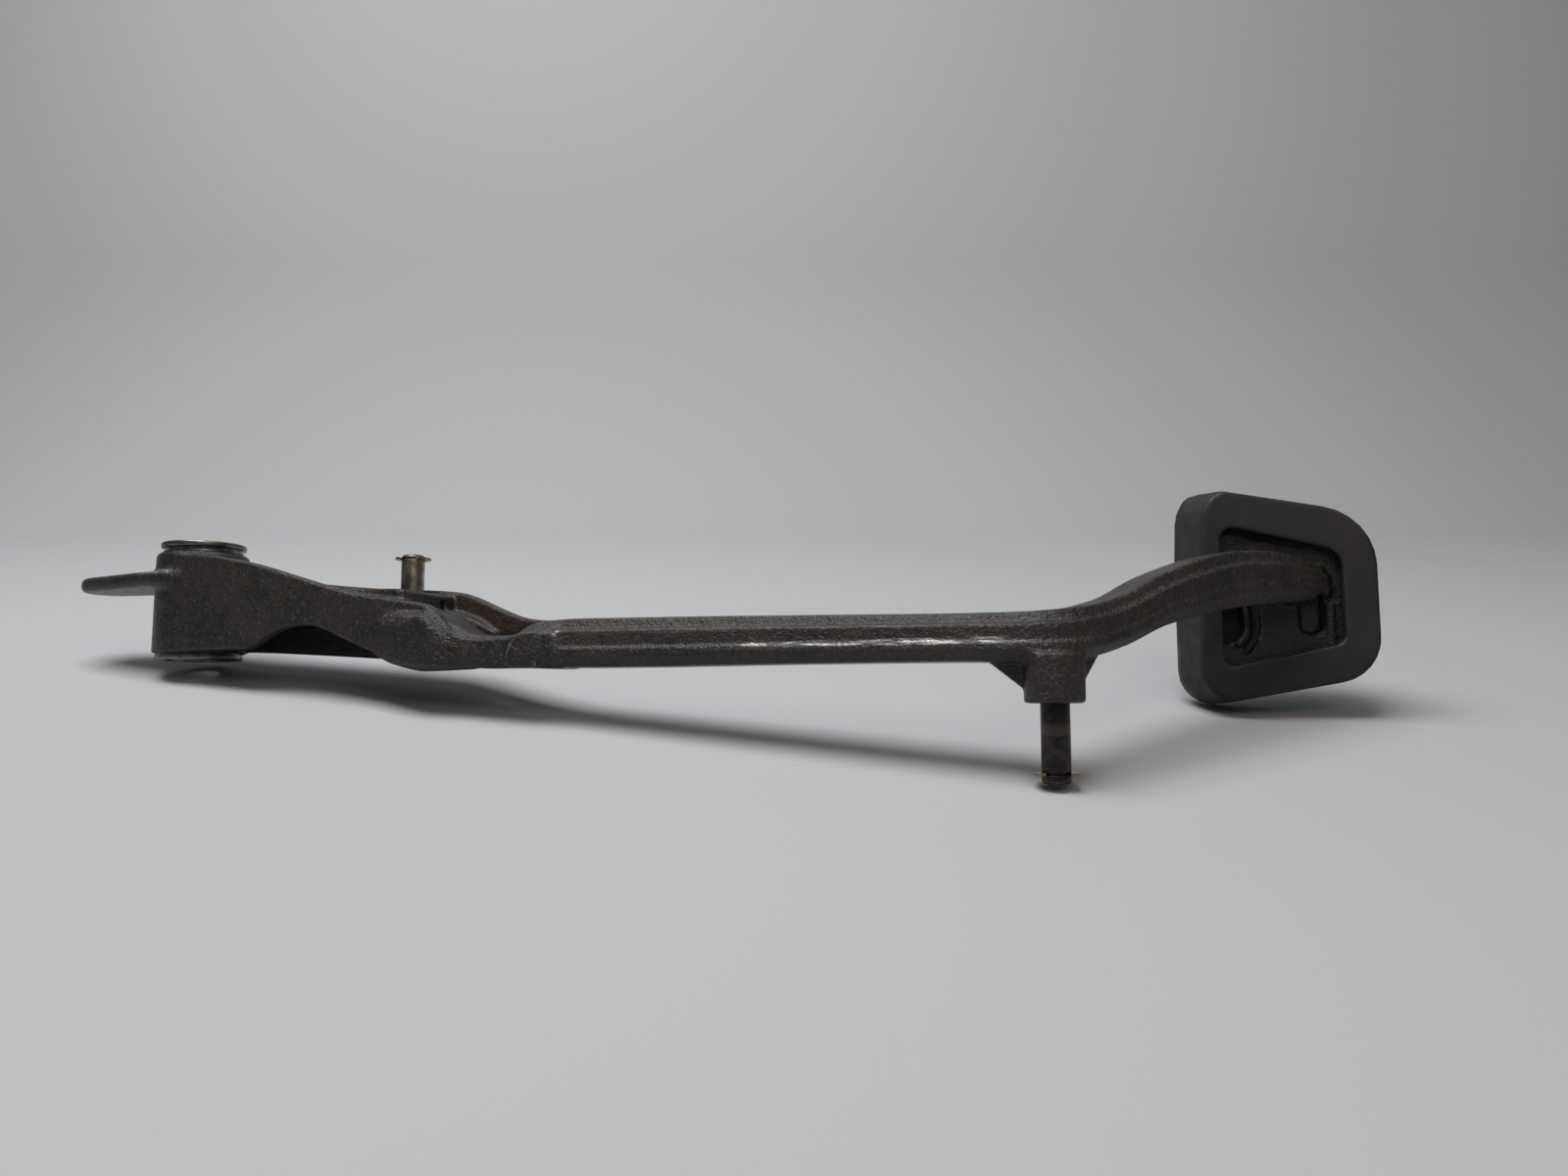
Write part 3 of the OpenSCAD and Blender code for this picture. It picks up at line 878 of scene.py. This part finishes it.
# ---- where the casting is worn
def band(value, low, high, soft):
    """1 where value lies from low to high, easing to 0 over soft beyond."""
    out = np.maximum(low - value, value - high)
    return np.clip(1 - out / soft, 0, 1)


def rub(x, y, z, s, t):
    """Where paint has rubbed through, besides at its edges."""
    near = t < -6
    # the tongue's top edge and its collar
    worn = 0.8 * band(x, -48, -8, 6) * band(z, 7.4, 11, 0.8) * (y < -4)
    worn += 0.9 * band(x, -13, -1, 4) * band(z, 9.5, 10.8, 0.8) * (y < -10)
    # the bulge, the near wall's top past it, and the wall below that
    worn += 0.7 * band(s, 92, 106, 4) * band(z, -10.5, -5, 1.5) * near
    worn += 0.2 * band(s, 108, 132, 2) * band(z, -18, -6, 1) * (t < -9.5) * (t > -12.2)
    worn += 0.5 * band(s, 122, 141, 3) * band(z, -23, -18, 2) * near
    # one place on the near wall
    worn += 0.45 * band(s, 40, 47, 3) * band(z, -11, 1, 2) * near
    # both ends of the patch, and the start of the rod's ridges
    worn += 0.4 * band(s, 140, 144, 1) * band(z, -26, -15, 1) * near
    worn += 0.25 * band(s, 151, 153, 1) * band(z, -26, -15, 1) * near
    worn += 0.9 * band(s, 155, 161, 2) * band(z, -21, -15, 1) * near
    # the tube's top, and the rise to the pad
    worn += 0.3 * band(z, 14, 18, 1) * (np.hypot(x, y) < 17)
    worn += 0.4 * band(x, 305, 372, 6) * band(z, -8, 12, 2) * band(y, -70, -20, 10)
    return worn


def streak(x, y, z, s, t):
    """Where wear runs in streaks."""
    near, before_boss = t < -6, x < 298
    # the side of the rod
    worn = band(s, 225, 300, 35) * band(z, -22.2, -20.2, 0.5) * near * before_boss
    # the tongue's collar and top edge
    worn += 1.0 * band(x, -14, -2, 3) * band(z, 9.2, 10.6, 0.6) * (y < -10)
    worn += 0.7 * band(x, -40, -14, 6) * band(z, 8.4, 10.2, 0.8) * (y < -6)
    # the bulge, and the rod's upper ridge
    worn += 0.8 * band(s, 94, 107, 3) * band(z, -12, -6.5, 1.5) * (t < -11.5)
    worn += 0.8 * band(s, 165, 300, 8) * band(z, -16.9, -15.4, 0.4) * near * before_boss
    return worn


def painted_shade(x, y, z, s, t):
    """Where shade is painted into the colour: the hollows, the foot plate and the head's underside."""
    # the foot plate, and the head's underside between the walls
    shaded = 1.0 * band(x, 357, 408, 1) * (y > -8)
    shaded += 0.9 * band(s, 20, 98, 2) * band(t, -10.2, 16, 0.6) * (z < -4)
    # the notch and the slot in the pocket's floor
    shaded += 0.9 * band(s, 98, 107, 1) * band(t, 8.5, 12.5, 0.5) * (z < -7)
    shaded += 0.9 * band(s, 111, 132, 1) * band(t, 0.5, 11, 1) * (z < -5.5 - 0.45 * (s - 98))
    return shaded


def rust_and_reflection(x, y, z, s, t):
    """Where the paint is browner: rust, and a painted warm reflection on the rod's top and the far wall."""
    # the top of the rod, the rest of the rod and its rise, and the far wall beside the pocket
    brown = 0.75 * band(s, 165, 225, 20) * band(z, -20, 0, 2)
    brown += 0.3 * band(s, 240, 400, 20) * (x < 405)
    brown += 0.9 * band(s, 104, 150, 6) * (t > 4) * (z > -13.5)
    return brown


def cast_arm():
    step = ((0.9, 0.5, 0.5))
    blunt, gain = 0.03, 7         # how convex an edge has to be to wear, and how fast wear grows
    points, faces = casting(step)
    points, bend = relax(points, faces, 1)
    x, y, z = points.T
    s, t = along(x, y), across(x, y)
    edge = np.clip((bend / step[1] - blunt) * gain, 0, 1)
    edge *= 1 - 0.7 * band(s, 20, 150, 2) * band(t, -6, 15, 1)     # inside the head edges wear less
    attributes = {"edge": edge}
    for zone in (rub, streak, painted_shade, rust_and_reflection):
        attributes[zone.__name__] = np.clip(zone(x, y, z, s, t), 0, 1)
    make_mesh("cast_arm", points, faces, "pedal_arm", "pedal", "arm_paint", attributes=attributes)


cast_arm()


# ------------------------------------------------------------------ bushes and sleeve
BUSH_BORE, SLEEVE_R, SLEEVE_BORE, SLEEVE_HALF = 9.04, 9, 6.1, 21.8
SHARP_FROM = 35                   # degrees between two faces, from which their edge looks sharp


def turned(name, corners, node, body, slot):
    points, faces = lathe(rounded(corners, 4))
    make_mesh(name, points, faces, node, body, slot, SHARP_FROM)


def upper_bush():
    """It ends inside the tube, with a shoulder on the tube's end and a flange above a neck."""
    end, shoulder, flange, chamfer = 4, 13.6, 14.45, 1.5
    seat, neck, face = TUBE_TOP + 0.6, TUBE_TOP + 1.7, TUBE_TOP + 3.7
    turned("upper_bush_turned",
           [(BUSH_BORE, end, 0), (BUSH_R, end, 0.4), (BUSH_R, TUBE_TOP, 0), (shoulder, TUBE_TOP, 0),
            (shoulder, seat, 0.2), (BUSH_R, seat, 0), (BUSH_R, neck, 0), (flange, neck, 0.5),
            (flange, face, 0.7), (BUSH_BORE + chamfer, face, 0.2), (BUSH_BORE, face - chamfer, 0.2)],
           "upper_bush", "pedal", "bush_metal")


def lower_bush():
    """It ends inside the tube, with a flange just off the tube's end."""
    shoulder, flange, chamfer = 14.0, 14.75, 1.5
    end, back, face = TUBE_LOW + 14, TUBE_LOW - 0.35, TUBE_LOW - 2.4
    turned("lower_bush_turned",
           [(BUSH_BORE, end, 0), (BUSH_BORE, face + chamfer, 0.2), (BUSH_BORE + chamfer, face, 0.2),
            (flange, face, 0.7), (flange, back, 0.2), (shoulder, back, 0), (shoulder, TUBE_LOW, 0),
            (BUSH_R, TUBE_LOW, 0), (BUSH_R, end, 0.4)],
           "lower_bush", "pedal", "bush_metal")


def sleeve():
    turned("sleeve_turned",
           [(SLEEVE_BORE, -SLEEVE_HALF, 0.35), (SLEEVE_R, -SLEEVE_HALF, 0.45), (SLEEVE_R, SLEEVE_HALF, 0.45),
            (SLEEVE_BORE, SLEEVE_HALF, 0.35)],
           "pivot_sleeve", "mounting", "sleeve_steel")


upper_bush()
lower_bush()
sleeve()


# ------------------------------------------------------------------ pins and clips
GROOVE_R, GROOVE_WIDE = 3, 0.8


def pin_profile(free, root, tip):
    """From root below the seat at height 0 up to free, with the clip's groove ending tip below that."""
    groove, chamfer = free - tip, 0.7
    corners = [(0, -root, 0), (PIN_R, -root, 0.5), (PIN_R, groove - GROOVE_WIDE, 0.12),
               (GROOVE_R, groove - GROOVE_WIDE, 0.05), (GROOVE_R, groove, 0.05), (PIN_R, groove, 0.12),
               (PIN_R, free - chamfer, 0.3), (PIN_R - chamfer, free, 0.3), (0, free, 0)]
    return rounded(corners, 4)


def e_clip(at, z):
    """A flat clip round the pin at that height, its mouth turned to -Y, with three teeth on the pin."""
    outer_r, inner_r, half_thick, half_mouth = 6.15, 4.45, 0.35, 3.1
    mouth_r, mouth_inset, count = 3.3, 0.25, 90
    teeth, tooth = ((90, 0.28), (-8, 0.3), (188, 0.3)), 1.4        # each tooth's degrees and half width
    angle = np.radians(np.linspace(-90, 270, count + 1))[1:-1]
    outer = [(outer_r * math.cos(a), outer_r * math.sin(a)) for a in angle
             if abs(math.cos(a)) * outer_r > half_mouth or math.sin(a) > 0]
    inner = []
    for a in angle:
        if abs(math.cos(a)) * mouth_r < half_mouth - mouth_inset and math.sin(a) < 0:
            continue
        grip = max(math.exp(-((a - math.radians(turn)) / wide_by) ** 2) for turn, wide_by in teeth)
        r = inner_r - tooth * grip
        inner.append((r * math.cos(a), r * math.sin(a)))
    loop = outer + inner[::-1]
    points = [(at[0] + x, at[1] + y, z + h) for h in (-half_thick, half_thick) for x, y in loop]
    m = len(loop)
    faces = [tuple(range(m))[::-1], tuple(range(m, 2 * m))]
    faces += [(k, (k + 1) % m, (k + 1) % m + m, k + m) for k in range(m)]
    return points, faces


def soften(piece, width):
    bevel = piece.modifiers.new("bevel", "BEVEL")
    bevel.width = width * MM
    bevel.segments = 2
    bevel.limit_method = "ANGLE"
    bevel.angle_limit = math.radians(50)
    bevel.harden_normals = False


def pin_and_clip(kind, at, seat, up, sizes, slot, clip_body):
    """A pin that stands up (1) or down (-1) from its seat, and the clip in its groove."""
    free, root, tip = sizes
    pin, clip = kind + "_pin", kind + "_clip"
    place = row_xy(*at)
    points, faces = lathe(pin_profile(free, root, tip), place, 72, closed=False)
    points = np.array(points) * (1, 1, up) + (0, 0, seat)
    make_mesh(pin + "_turned", points, [f[::up] for f in faces], pin, "pedal", slot, SHARP_FROM)
    points, faces = e_clip(place, seat + up * (free - tip - GROOVE_WIDE / 2))
    piece = make_mesh(clip + "_pressed", points, faces, clip, clip_body, "clip_brass", SHARP_FROM)
    soften(piece, 0.12)


pin_and_clip("pushrod", PUSHROD_AT, PUSHROD_SEAT, 1, (14, 6, 1), "zinc_pin", "upper_clip")
pin_and_clip("side", BOSS_AT, BOSS_LOW, -1, (21.8, 12, 2.3), "dark_pin", "lower_clip")


# ------------------------------------------------------------------ rubber pad
# outlined like the foot plate; PAD_RIM is the pad's rear edge, from which the left side leans outwards
PAD_OUTLINE = [(351.8, 34.5, 7), (412.5, 23.5, 20), (412.5, -29, 15), (352, -40, 11)]
PAD_RIM = [(358.5, 34.5, 10), (412.5, 23.5, 20), (412.5, -29, 15), (355.5, -39.2, 11)]
RIM_OPENING = [(363.5, 20.5, 4), (401.5, 11.5, 7), (401.5, -18.5, 4), (363.5, -26.5, 3)]
PAD_REAR, PAD_FRONT, RIM_FLOOR = -9.5, 9.5, -4
PAD_GRID = 0.55


def pad_body(x, y, z):
    flat = upright(PAD_OUTLINE, x, z)
    rim = upright(PAD_RIM, x, z)
    flat = np.maximum(flat, 0.93 * rim - 0.30 * (y - PAD_REAR) * (rim > flat))
    rear = meet(flat, PAD_REAR - y, 1.0)
    return meet(rear, y - PAD_FRONT, 2.5)


def plate_room(x, y, z):
    return meet(upright(PLATE_OUTLINE, x, z), in_plate(y))


def rear_opening(x, y, z):
    return meet(upright(RIM_OPENING, x, z), y - RIM_FLOOR)


def tread_groove(centre):
    """An upright groove in the front face, which stops 5 mm inside the pad's outline."""
    half, floor, margin = 1.6, 7.6, 5

    def shape(x, y, z):
        inner = upright(PAD_OUTLINE, x, z) + margin
        return meet(meet(np.abs(x - centre) - half, floor - y, 0.8), inner, 1.0)

    return shape


def rubber_pad():
    blunt, gain = 0.02, 9         # as for the casting
    first, pitch, grooves = 361.5, 8.4, 6
    step = PAD_GRID
    field = Field((350, -11, -42.5), (415, 11, 37), [step] * 3)
    field.add((350, -11, -43), (415, 11, 38), pad_body)
    field.cut((352, -10, -40), (412, 2, 35), plate_room)
    field.cut((355, -12, -35), (410, 2, 30), rear_opening, 0.7)
    for k in range(grooves):
        field.cut((350, 5, -42), (415, 12, 37), tread_groove(first + pitch * k), 0.8)
    points, faces = field.surface()
    points, bend = relax(points, faces, 2)
    edge = np.clip((bend / PAD_GRID - blunt) * gain, 0, 1)
    make_mesh("pad_moulded", points, faces, "rubber_pad", "pedal", "pad_rubber", attributes={"edge": edge})


rubber_pad()


# ------------------------------------------------------------------ floor and backdrop
def floor_material():
    """A plain grey that can be looked through from behind."""
    g = Graph("floor")
    g.put(g.shader.inputs["Base Color"], (0.43, 0.432, 0.436))
    g.put(g.shader.inputs["Roughness"], 0.75)
    g.put(g.shader.inputs["Specular IOR Level"], 0.2)
    clear = g.nodes.new("ShaderNodeBsdfTransparent")
    sides = g.nodes.new("ShaderNodeMixShader")
    g.links.new(g.nodes.new("ShaderNodeNewGeometry").outputs["Backfacing"], sides.inputs[0])
    g.links.new(g.shader.outputs[0], sides.inputs[1])
    g.links.new(clear.outputs[0], sides.inputs[2])
    g.links.new(sides.outputs[0], g.nodes["Material Output"].inputs["Surface"])
    return g.material


def sweep_stage():
    """A floor that curves up into a backdrop, in metres."""
    radius, far, near, half = 0.25, 0.78, -2.5, 3.0
    back, up = 0.6, 2.6           # from the end of the curve to the backdrop's top
    line = [(near, 0.0), (far, 0.0)]
    line += [(far + radius * math.sin(a), radius * (1 - math.cos(a)))
             for a in np.radians(np.linspace(6, 78, 13))]
    last = line[-1]
    line.append((last[0] + back, last[1] + up))
    corners, faces = [], []
    for d, h in line:
        corners += [room(-half, d, h), room(half, d, h)]
    for k in range(len(line) - 1):
        faces.append((2 * k, 2 * k + 1, 2 * k + 3, 2 * k + 2))
    mesh = bpy.data.meshes.new("floor")
    mesh.from_pydata(corners, [], faces)
    for p in mesh.polygons:
        p.use_smooth = True
    mesh.materials.append(floor_material())
    floor = bpy.data.objects.new("floor", mesh)
    scene.collection.objects.link(floor)


sweep_stage()
